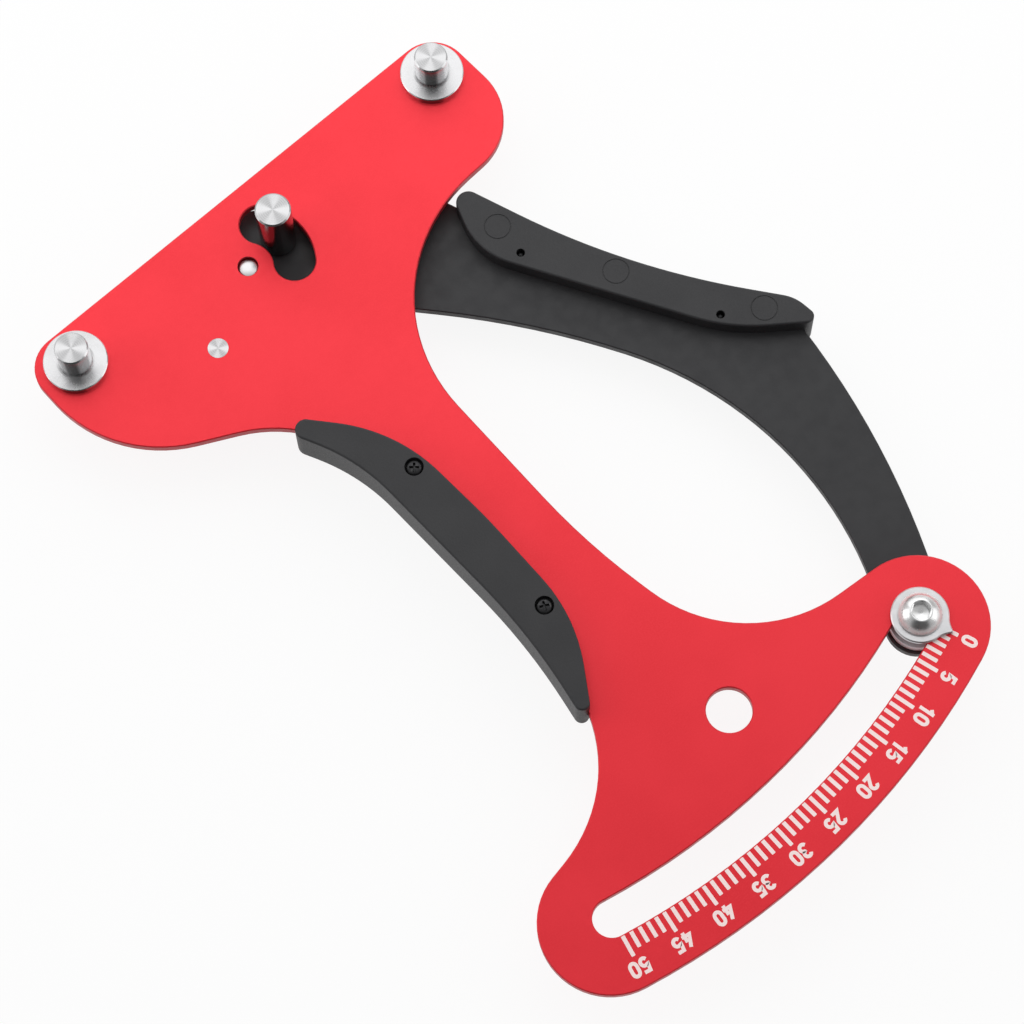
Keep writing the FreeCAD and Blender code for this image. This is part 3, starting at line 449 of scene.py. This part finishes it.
def thread_rings(radius, length, pitch, cut):
    """Helical thread on the shank's last stretch, run out at its start and tapered at its tip."""
    start = -length + cut
    rings = [circle(radius, start + 0.15)]
    steps = int(cut / pitch * THREAD_STEPS)
    depth = 0.54 * pitch
    for step in range(steps + 1):
        z = start - cut * step / steps
        taper = min(1.0, (z + length) / (0.7 * pitch))
        fade = min(1.0, (start - z) / (0.5 * pitch))
        ring = []
        for t in full_turn(HEAD_SEGMENTS):
            phase = (z / pitch - t / (2 * math.pi)) % 1
            tooth = min(1.0, max(0.0, abs(phase - 0.5) * 2.6 - 0.12))
            r = (radius - depth * (1 - tooth) * fade) * (0.86 + 0.14 * taper)
            ring.append((r * math.cos(t), r * math.sin(t), z))
        rings.append(ring)
    return rings + [circle(radius * 0.6, -length)]


def screw_rings(head_radius, head_height, socket_width, socket_depth, shank, thread):
    """Rings of a button-head screw on its seat, from the socket's floor out over the head and down the shank.

    shank is (radius, length); thread is (pitch, length), cut on the shank's end.
    """
    rings = socket_rings(socket_width, head_height, socket_depth) + dome_rings(head_radius, head_height)
    rings += [circle(shank[0] + 0.15, 0), circle(shank[0], -0.2)]
    return rings + thread_rings(*shank, *thread)


def placed(rings, place, seat_z, faces_back):
    """The rings moved to where the screw sits, turned over where its head is behind."""
    moved = []
    for ring in rings:
        points = [(x, -y, -z) if faces_back else (x, y, z) for x, y, z in ring]
        moved.append([at(place[0] + x, place[1] + y, seat_z + z) for x, y, z in points])
    return moved


def cross_recess(bm_head, length, width, depth, top):
    """Cuts a tapered cross into the head's mesh and gives back the cut mesh."""
    cutter = bmesh.new()
    for turn in (0, 90):
        spin = Matrix.Rotation(math.radians(turn), 3, "Z")
        rings = []
        for x, y, z in ((length * 0.30, width * 0.32, top - depth), (length / 2, width / 2, top + 0.1)):
            rings.append([spin @ Vector((a * x, b * y, z)) for a, b in ((-1, -1), (1, -1), (1, 1), (-1, 1))])
        add_rings(cutter, rings)
    bmesh.ops.recalc_face_normals(cutter, faces=cutter.faces)
    bmesh.ops.recalc_face_normals(bm_head, faces=bm_head.faces)
    objects = []
    for name, bm in (("head", bm_head), ("cutter", cutter)):
        mesh = bpy.data.meshes.new(name)
        bm.to_mesh(mesh)
        bm.free()
        objects.append(bpy.data.objects.new(name, mesh))
        bpy.context.scene.collection.objects.link(objects[-1])
    head, tool = objects
    cut = head.modifiers.new("cut", "BOOLEAN")
    cut.operation, cut.solver, cut.object, cut.use_self = "DIFFERENCE", "EXACT", tool, True
    bpy.context.view_layer.update()
    result = bmesh.new()
    result.from_object(head, bpy.context.evaluated_depsgraph_get())
    for made in objects:
        mesh = made.data
        bpy.data.objects.remove(made)
        bpy.data.meshes.remove(mesh)
    return result


# Screws


SCALE_RADIUS, ZERO_ANGLE, SWEEP = 177.6, -71.0, 32.4
LEFT_POST, RIGHT_POST = (-45.7, 8.2), (65.1, 8.2)
POINTER = polar(SCALE_RADIUS, ZERO_ANGLE)
MOVING_POST = polar(11.1, 11.5)
PLATE, GAP, LEVER = 2.5, 3.0, 2.5
LEVER_BACK = -PLATE - GAP - LEVER
HEAD_SMOOTH, CROSS_SMOOTH, WIRE_SMOOTH = 32, 30, 50


def button_screw(name, nodes, body, material, placements, head, shank, thread):
    bm = bmesh.new()
    for place, seat_z, faces_back in placements:
        add_rings(bm, placed(screw_rings(*head, shank, thread), place, seat_z, faces_back))
    made = piece(name, bm, material, body, HEAD_SMOOTH)
    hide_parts(*nodes)


# A head is (radius, height, socket width, socket depth)
POLISHED = zinc_steel("polished_steel", 0.28, (0.68, 0.68, 0.68), dull_sides=True)
POINTER_HEAD, POINTER_THREAD = (5.1, 3.2, 4.0, 2.0), (1.0, 5.0)
POINTER_SHANK, POINTER_SEAT, NUT_REACH = 3.0, 1.15, 4.0
button_screw(
    "pointer_button_screw", ["pointer_screw"], "lever", POLISHED,
    [(POINTER, POINTER_SEAT, False)],
    POINTER_HEAD, (POINTER_SHANK, POINTER_SEAT - LEVER_BACK + NUT_REACH), POINTER_THREAD,
)
POST_HEAD, POST_THREAD = (3.8, 2.2, 2.5, 1.3), (0.7, 3.5)
POST_SHANK, POST_ENGAGEMENT = 2.0, 5.0
button_screw(
    "fixed_post_button_screws", ["fixed_post_screws"], "frame", BLACK_SCREW,
    [(LEFT_POST, -PLATE, True), (RIGHT_POST, -PLATE, True)],
    POST_HEAD, (POST_SHANK, PLATE + POST_ENGAGEMENT), POST_THREAD,
)
button_screw(
    "moving_post_button_screw", ["moving_post_screw"], "lever", BLACK_SCREW,
    [(MOVING_POST, LEVER_BACK, True)],
    POST_HEAD, (POST_SHANK, LEVER + POST_ENGAGEMENT), POST_THREAD,
)

PIVOT_HEAD, PIVOT_SOCKET_WIDTH, PIVOT_SOCKET_DEPTH = (5.3, 2.7), 3.0, 1.6
SHOULDER_RADIUS, TIP_RADIUS, TIP_BELOW_FACE = 3.5, 2.45, 1.0
AXIAL_PLAY, WASHER_THICKNESS = 0.05, 0.5
PIVOT_SEAT = LEVER_BACK - AXIAL_PLAY - WASHER_THICKNESS


def pivot_rings():
    """Shoulder screw: button head behind, wide shoulder, and a tip that ends 1 mm below the front face."""
    shoulder, tip = PLATE + PIVOT_SEAT, TIP_BELOW_FACE + PIVOT_SEAT
    socket = socket_rings(PIVOT_SOCKET_WIDTH, PIVOT_HEAD[1], PIVOT_SOCKET_DEPTH)
    return socket + dome_rings(*PIVOT_HEAD) + [
        circle(SHOULDER_RADIUS + 0.15, 0),
        circle(SHOULDER_RADIUS, -0.15),
        circle(SHOULDER_RADIUS, shoulder + 0.02),
        circle(SHOULDER_RADIUS - 0.1, shoulder),
        circle(TIP_RADIUS, shoulder),
        circle(TIP_RADIUS, tip + 0.5),
        circle(2.2, tip + 0.12),
        circle(1.95, tip),
        circle(0.1, tip),
    ]


bm = bmesh.new()
add_rings(bm, placed(pivot_rings(), (0, 0), PIVOT_SEAT, True))
pivot = piece("pivot_shoulder_screw", bm, ZINC, "frame", HEAD_SMOOTH)
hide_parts("pivot_screw")

LEVER_GRIP_LENGTH = 91.0
FRAME_SCREWS = [(-4.8, -65.2), (-4.8, -110.0)]
LEVER_SCREW_SHARES = ((0.5536, -0.4415), (0.8215, -0.9155))
LEVER_SCREWS = [(x * LEVER_GRIP_LENGTH, y * LEVER_GRIP_LENGTH) for x, y in LEVER_SCREW_SHARES]
GRIP_SEAT = 2.8
# Radius and height along the cross-head screw's head and its pointed shank
CROSS_HEAD = [
    (0.9, 0), (1.85, 0), (2.0, 0.12), (2.0, 0.6), (1.96, 0.8),
    (1.8, 1.0), (1.5, 1.16), (1.1, 1.25), (0.5, 1.3),
]
CROSS_SHANK = [(0.9, 0.02), (1.0, -0.1), (1.0, -7.2), (0.55, -8.6), (0.1, -8.8)]
CROSS_LENGTH, CROSS_WIDTH, CROSS_DEPTH = 2.5, 0.6, 0.85


def cross_screws(name, nodes, body, placements):
    bm = bmesh.new()
    for place, seat_z, faces_back, spin in placements:
        head = bmesh.new()
        add_rings(head, [circle(r, z, CROSS_HEAD_SEGMENTS) for r, z in CROSS_HEAD])
        cut = cross_recess(head, CROSS_LENGTH, CROSS_WIDTH, CROSS_DEPTH, CROSS_HEAD[-1][1])
        add_rings(cut, [circle(r, z, CROSS_HEAD_SEGMENTS) for r, z in CROSS_SHANK])
        flip = Matrix.Rotation(math.pi if faces_back else 0, 4, "X")
        turn = flip @ Matrix.Rotation(math.radians(spin), 4, "Z")
        move = Matrix.Translation(at(*place, seat_z)) @ Matrix.Scale(MM, 4) @ turn
        bmesh.ops.transform(cut, matrix=move, verts=cut.verts)
        mesh = bpy.data.meshes.new("part")
        cut.to_mesh(mesh)
        cut.free()
        bm.from_mesh(mesh)
        bpy.data.meshes.remove(mesh)
    made = piece(name, bm, BLACK_SCREW, body, CROSS_SMOOTH)
    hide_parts(*nodes)


FRAME_SPINS, LEVER_SPINS = (48, 63), (12, 50)
cross_screws(
    "frame_grip_cross_screws", ["frame_grip_screws"], "frame",
    [(place, GRIP_SEAT, False, spin) for place, spin in zip(FRAME_SCREWS, FRAME_SPINS)],
)
cross_screws(
    "lever_grip_cross_screws", ["lever_grip_screws"], "lever",
    [(place, LEVER_BACK - GRIP_SEAT, True, spin) for place, spin in zip(LEVER_SCREWS, LEVER_SPINS)],
)

# Return spring


COIL_RADIUS, WIRE_RADIUS, PITCH, TURNS = 2.85, 0.75, 2.02, 6
ANCHOR = Vector((-18.6, -11.1, 0))
LEVER_STUD = Vector((*polar(12.6, 138.0), 0))
SPRING_CLEARANCE = 0.3
SPRING_Z = LEVER_BACK - SPRING_CLEARANCE - COIL_RADIUS - WIRE_RADIUS
BEND_RADIUS, HOOK_WRAP = 1.6, 205.0
HOOK_STEPS, LEAD_STEPS, BEND_STEPS, COIL_STEPS = 28, 4, 8, 36


def spring_centre_line():
    span = (LEVER_STUD - ANCHOR).length
    along = (LEVER_STUD - ANCHOR) / span
    across = Vector((-along.y, along.x, 0))
    lead = math.atan2(PITCH, 2 * math.pi * COIL_RADIUS)
    turn = math.pi / 2 - lead
    hook_z = SPRING_Z - BEND_RADIUS * (1 - math.cos(turn))
    first = (span - PITCH * (TURNS + 0.5)) / 2

    def place(a, b, z):
        return ANCHOR + along * a + across * b + Vector((0, 0, z))

    def hook(stud, outward):
        side = -outward
        coil = first if outward < 0 else span - first
        points = []
        for i in range(HOOK_STEPS + 1):
            angle = math.radians(HOOK_WRAP * (1 - i / HOOK_STEPS))
            reach = outward * COIL_RADIUS * math.sin(angle)
            points.append(place(stud + reach, side * COIL_RADIUS * math.cos(angle), hook_z))
        bend = coil + outward * BEND_RADIUS * math.sin(turn)
        for i in range(1, LEAD_STEPS):
            points.append(place(stud + (bend - stud) * i / LEAD_STEPS, side * COIL_RADIUS, hook_z))
        for i in range(BEND_STEPS + 1):
            angle = turn * i / BEND_STEPS
            back = bend - outward * BEND_RADIUS * math.sin(angle)
            points.append(place(back, side * COIL_RADIUS, hook_z + BEND_RADIUS * (1 - math.cos(angle))))
        return points

    line = hook(0, -1)
    steps = int(COIL_STEPS * (TURNS + 0.5))
    for i in range(1, steps):
        angle = 2 * math.pi * (TURNS + 0.5) * i / steps
        advance = first + PITCH * angle / (2 * math.pi)
        line.append(place(advance, COIL_RADIUS * math.cos(angle), SPRING_Z + COIL_RADIUS * math.sin(angle)))
    line += hook(span, 1)[::-1]
    return line, place(first, 0, SPRING_Z), place(span - first, 0, SPRING_Z)


def tube_rings(line, radius):
    """Rings round a centre line, each frame carried on from the last without twist, with rounded cut ends."""
    rings = []
    normal = Vector((0, 0, 1))
    for i, p in enumerate(line):
        way = (line[min(i + 1, len(line) - 1)] - line[max(i - 1, 0)]).normalized()
        normal = (normal - way * normal.dot(way)).normalized()
        side = way.cross(normal)
        radii = [(radius, 0.0)]
        if i == 0:
            radii = [(radius * 0.6, 0.0), (radius * 0.9, radius * 0.1), (radius, radius * 0.3)]
        if i == len(line) - 1:
            radii = [(radius, -radius * 0.3), (radius * 0.9, -radius * 0.1), (radius * 0.6, 0.0)]
        for r, shift in radii:
            middle = p + way * shift
            turns = full_turn(WIRE_SEGMENTS)
            rings.append([middle + (normal * math.cos(t) + side * math.sin(t)) * r for t in turns])
    return rings


line, coil_from, coil_to = spring_centre_line()
bm = bmesh.new()
add_rings(bm, [[at(*p) for p in ring] for ring in tube_rings(line, WIRE_RADIUS)])
spring = piece("return_spring_wire", bm, WIRE, None, WIRE_SMOOTH)
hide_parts("return_spring")
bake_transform(spring)

# Printed scale


PRINT_TOP, PRINT_DEPTH = 0.02, 0.02
TICK_START, SHORT_TICK, LONG_TICK, TICK_WIDTH = 182.26, 3.9, 5.1, 0.95
TICK_CORNER = 0.12
NUMERAL_RADIUS, NUMERAL_HEIGHT, NUMERAL_STROKE = 188.3, 3.85, 0.84
SCALE_END, LONG_EVERY = 50, 5
# The marks stand slightly closer together at the start of the scale
FIRST_MARK, SCALE_GROWTH = -70.96, 1.033


def tick_angle(value):
    return FIRST_MARK - SWEEP * (value / SCALE_END) ** SCALE_GROWTH


def raised(bm, polygon):
    """A thin flat print with the polygon's outline, on the front face."""
    top = [bm.verts.new(at(x, y, PRINT_TOP)) for x, y in polygon]
    foot = [bm.verts.new(at(x, y, PRINT_TOP - PRINT_DEPTH)) for x, y in polygon]
    bm.faces.new(top)
    for i in range(len(polygon)):
        j = (i + 1) % len(polygon)
        bm.faces.new((top[i], foot[i], foot[j], top[j]))


def on_dial(value, across, out):
    """A point of the print: across runs from 0 towards 50, out away from the pivot."""
    angle = tick_angle(value)
    radial, tangent = Vector(polar(1, angle)), Vector(polar(1, angle - 90))
    place = radial * out + tangent * across
    return place.x, place.y


def tick_outline(length):
    half, end = TICK_WIDTH / 2, TICK_START + length
    return [
        (-half, TICK_START), (half, TICK_START), (half, end - TICK_CORNER),
        (half - TICK_CORNER, end), (TICK_CORNER - half, end), (-half, end - TICK_CORNER),
    ]


bm = bmesh.new()
for value in range(SCALE_END + 1):
    outline = tick_outline(SHORT_TICK if value % LONG_EVERY else LONG_TICK)
    raised(bm, [on_dial(value, a, b) for a, b in outline])
piece("scale_ticks", bm, PRINT, "frame", None)


def arc(centre, rx, ry, start, end, steps):
    turns = [math.radians(start + (end - start) * i / steps) for i in range(steps + 1)]
    return [(centre[0] + rx * math.cos(t), centre[1] + ry * math.sin(t)) for t in turns]


# Strokes of each digit on a body 0.62 wide and 1 high, as centre lines; True where the stroke is closed
UPPER_BOW = arc((0.31, 0.66), 0.205, 0.24, 0, 180, 12)
LOWER_BOW = arc((0.31, 0.34), 0.205, 0.24, 180, 360, 12)
THREE_BOWS = arc((0.29, 0.705), 0.20, 0.195, 160, -75, 12) + arc((0.29, 0.305), 0.22, 0.205, 75, -160, 12)
FIVE_BOW = arc((0.31, 0.325), 0.205, 0.225, 125, -150, 14)
DIGITS = {
    "0": [(UPPER_BOW + LOWER_BOW, True)],
    "1": [([(0.38, 1.0), (0.38, 0.0)], False), ([(0.14, 0.70), (0.33, 0.84)], False)],
    "2": [(arc((0.31, 0.685), 0.20, 0.215, 165, -20, 12) + [(0.13, 0.10), (0.56, 0.10)], False)],
    "3": [(THREE_BOWS, False)],
    "4": [([(0.60, 0.26), (0.10, 0.26), (0.40, 0.96)], False), ([(0.42, 0.62), (0.42, 0.0)], False)],
    "5": [([(0.54, 0.90), (0.18, 0.90), (0.13, 0.50)] + FIVE_BOW, False)],
}
DIGIT_ADVANCE, DIGIT_OFFSET = 0.67 * NUMERAL_HEIGHT, 0.025 * NUMERAL_HEIGHT
STROKE_STEP = 0.003
SHARPEST_MITRE = 0.45


def stroke_outline(points, closed, width):
    """Left and right edges of a flat stroke, with mitred corners."""
    left, right = [], []
    count = len(points)
    for i, p in enumerate(points):
        before = points[(i - 1) % count] if closed or i else None
        after = points[(i + 1) % count] if closed or i < count - 1 else None
        ways = []
        for a, b in ((before, p), (p, after)):
            if a is not None and b is not None and a != b:
                d = Vector((b[0] - a[0], b[1] - a[1]))
                if d.length > 1e-6:
                    ways.append(d.normalized())
        way = (ways[0] + ways[-1]).normalized()
        normal = Vector((-way.y, way.x))
        spread = width / 2 / max(SHARPEST_MITRE, normal.dot(Vector((-ways[0].y, ways[0].x))))
        left.append((p[0] + normal.x * spread, p[1] + normal.y * spread))
        right.append((p[0] - normal.x * spread, p[1] - normal.y * spread))
    return left, right


def add_stroke(bm, points, closed, to_plate, drop):
    sides = stroke_outline(points, closed, NUMERAL_STROKE / NUMERAL_HEIGHT)
    top, foot = [
        [[bm.verts.new(at(*to_plate(*p), z)) for p in side] for side in sides]
        for z in (PRINT_TOP - drop, PRINT_TOP - PRINT_DEPTH)
    ]
    count = len(points)
    for i in range(count if closed else count - 1):
        j = (i + 1) % count
        bm.faces.new((top[0][i], top[0][j], top[1][j], top[1][i]))
        bm.faces.new((top[0][j], top[0][i], foot[0][i], foot[0][j]))
        bm.faces.new((top[1][i], top[1][j], foot[1][j], foot[1][i]))
    if not closed:
        for i in (0, count - 1):
            bm.faces.new((top[0][i], top[1][i], foot[1][i], foot[0][i]))


bm = bmesh.new()
for value in range(0, SCALE_END + 1, LONG_EVERY):
    text = str(value)
    start = DIGIT_OFFSET - DIGIT_ADVANCE * len(text) / 2
    for place, digit in enumerate(text):
        for number, (points, closed) in enumerate(DIGITS[digit]):

            def to_plate(x, y, shift=start + place * DIGIT_ADVANCE):
                return on_dial(value, shift + x * NUMERAL_HEIGHT, NUMERAL_RADIUS + y * NUMERAL_HEIGHT)

            add_stroke(bm, points, closed, to_plate, STROKE_STEP * number)
piece("scale_numerals", bm, PRINT, "frame", None)

# Floor, light and camera


FLOOR_DARK, FLOOR_LIGHT = 0.90, 0.92
FLOOR_WHITE_SHARE = 0.90


def floor_material():
    """Pale floor that the camera and reflections see as mostly white, so that only its shadows show."""
    made = bpy.data.materials.new("floor")
    made.use_nodes = True
    tree = made.node_tree
    tree.nodes.clear()

    def math_node(operation, a, b, clamp=False):
        node = tree.nodes.new("ShaderNodeMath")
        node.operation, node.use_clamp = operation, clamp
        tree.links.new(a, node.inputs[0])
        if isinstance(b, float):
            node.inputs[1].default_value = b
        else:
            tree.links.new(b, node.inputs[1])
        return node.outputs[0]

    noise = tree.nodes.new("ShaderNodeTexNoise")
    noise.inputs["Scale"].default_value = 3.0
    tone = tree.nodes.new("ShaderNodeMix")
    tone.data_type = "RGBA"
    tree.links.new(noise.outputs["Fac"], tone.inputs["Factor"])
    tone.inputs[6].default_value = (FLOOR_DARK, FLOOR_DARK, FLOOR_DARK, 1)
    tone.inputs[7].default_value = (FLOOR_LIGHT, FLOOR_LIGHT, FLOOR_LIGHT, 1)
    diffuse = tree.nodes.new("ShaderNodeBsdfDiffuse")
    tree.links.new(tone.outputs[2], diffuse.inputs["Color"])
    glow = tree.nodes.new("ShaderNodeEmission")
    glow.inputs["Color"].default_value = (1, 1, 1, 1)
    glow.inputs["Strength"].default_value = 1.0
    path = tree.nodes.new("ShaderNodeLightPath").outputs
    seen = math_node("ADD", path["Is Camera Ray"], path["Is Glossy Ray"], clamp=True)
    seen = math_node("ADD", seen, path["Is Transmission Ray"], clamp=True)
    mix = tree.nodes.new("ShaderNodeMixShader")
    tree.links.new(math_node("MULTIPLY", seen, FLOOR_WHITE_SHARE), mix.inputs[0])
    tree.links.new(diffuse.outputs[0], mix.inputs[1])
    tree.links.new(glow.outputs[0], mix.inputs[2])
    out = tree.nodes.new("ShaderNodeOutputMaterial")
    tree.links.new(mix.outputs[0], out.inputs["Surface"])
    return made


FLOOR_SIZE = 4.0
bm = bmesh.new()
bmesh.ops.create_grid(bm, x_segments=2, y_segments=2, size=FLOOR_SIZE)
floor = piece("floor", bm, floor_material(), None, None)

world = bpy.data.worlds.new("studio")
bpy.context.scene.world = world
world.use_nodes = True
SKY, SHADE = 0.56, 0.08
SHADE_AZIMUTH, SHADE_HEIGHT = -132.0, 30.0
SHADE_CORE, SHADE_RIM = 32.0, 46.0


def heading(azimuth, height, distance=1.0):
    """A point at a distance, in the direction of an azimuth and a height in degrees."""
    rise = math.radians(height)
    return Vector((*polar(distance * math.cos(rise), azimuth), distance * math.sin(rise)))


def light_the_world():
    """An even pale sky all round, with one round darker part, as over a photographer's table."""
    tree = world.node_tree
    sky = tree.nodes["Background"]
    sky.inputs["Color"].default_value = (1, 1, 1, 1)
    place = tree.nodes.new("ShaderNodeTexCoord")
    near = tree.nodes.new("ShaderNodeVectorMath")
    near.operation = "DOT_PRODUCT"
    tree.links.new(place.outputs["Generated"], near.inputs[0])
    near.inputs[1].default_value = heading(SHADE_AZIMUTH, SHADE_HEIGHT)
    level = tree.nodes.new("ShaderNodeMapRange")
    level.interpolation_type = "SMOOTHSTEP"
    limits = (math.cos(math.radians(SHADE_RIM)), math.cos(math.radians(SHADE_CORE)), SKY, SHADE)
    for socket, number in zip(list(level.inputs)[1:5], limits):
        socket.default_value = number
    tree.links.new(near.outputs["Value"], level.inputs["Value"])
    tree.links.new(level.outputs["Result"], sky.inputs["Strength"])


light_the_world()

MIDDLE = Vector((0, 0, 0.012))


def lamp(name, azimuth, height, distance, size, power):
    """A soft rectangular lamp that looks at the part's middle."""
    data = bpy.data.lights.new(name, "AREA")
    data.shape, data.size, data.size_y = "RECTANGLE", size[0], size[1]
    data.energy = power
    made = bpy.data.objects.new(name, data)
    bpy.context.scene.collection.objects.link(made)
    made.location = MIDDLE + heading(azimuth, height, distance)
    made.rotation_mode = "QUATERNION"
    made.rotation_quaternion = (MIDDLE - made.location).to_track_quat("-Z", "Y")


lamp("key", 50, 42, 0.48, (0.78, 0.65), 1.85)
lamp("side", -40, 24, 0.72, (0.50, 0.50), 1.0)
lamp("left", 133, 24, 0.72, (0.50, 0.50), 1.3)

# Eye and target are in millimetres; the focal length is as long as the photograph's, in its own pixels
EYE, TARGET = (-156.3, -282.1, 750.8), (5.55, -87.31, 0.0)
PICTURE_RIGHT = (0.74578, -0.66608, -0.01205)
SENSOR_WIDTH, FOCAL_PIXELS, PICTURE_PIXELS = 36.0, 3445, 1024
camera = bpy.data.objects.new("camera", bpy.data.cameras.new("camera"))
bpy.context.scene.collection.objects.link(camera)
bpy.context.scene.camera = camera
camera.data.sensor_fit = "HORIZONTAL"
camera.data.sensor_width = SENSOR_WIDTH
camera.data.lens = SENSOR_WIDTH * FOCAL_PIXELS / PICTURE_PIXELS
camera.data.clip_start, camera.data.clip_end = 0.05, 20
eye = at(*EYE)
back = (eye - at(*TARGET)).normalized()
right = Vector(PICTURE_RIGHT)
right = (right - back * right.dot(back)).normalized()
up = back.cross(right)
turned = Matrix((right, up, back)).transposed()
camera.matrix_world = Matrix.Translation(eye) @ turned.to_4x4()

bpy.context.scene.view_settings.view_transform = "Standard"
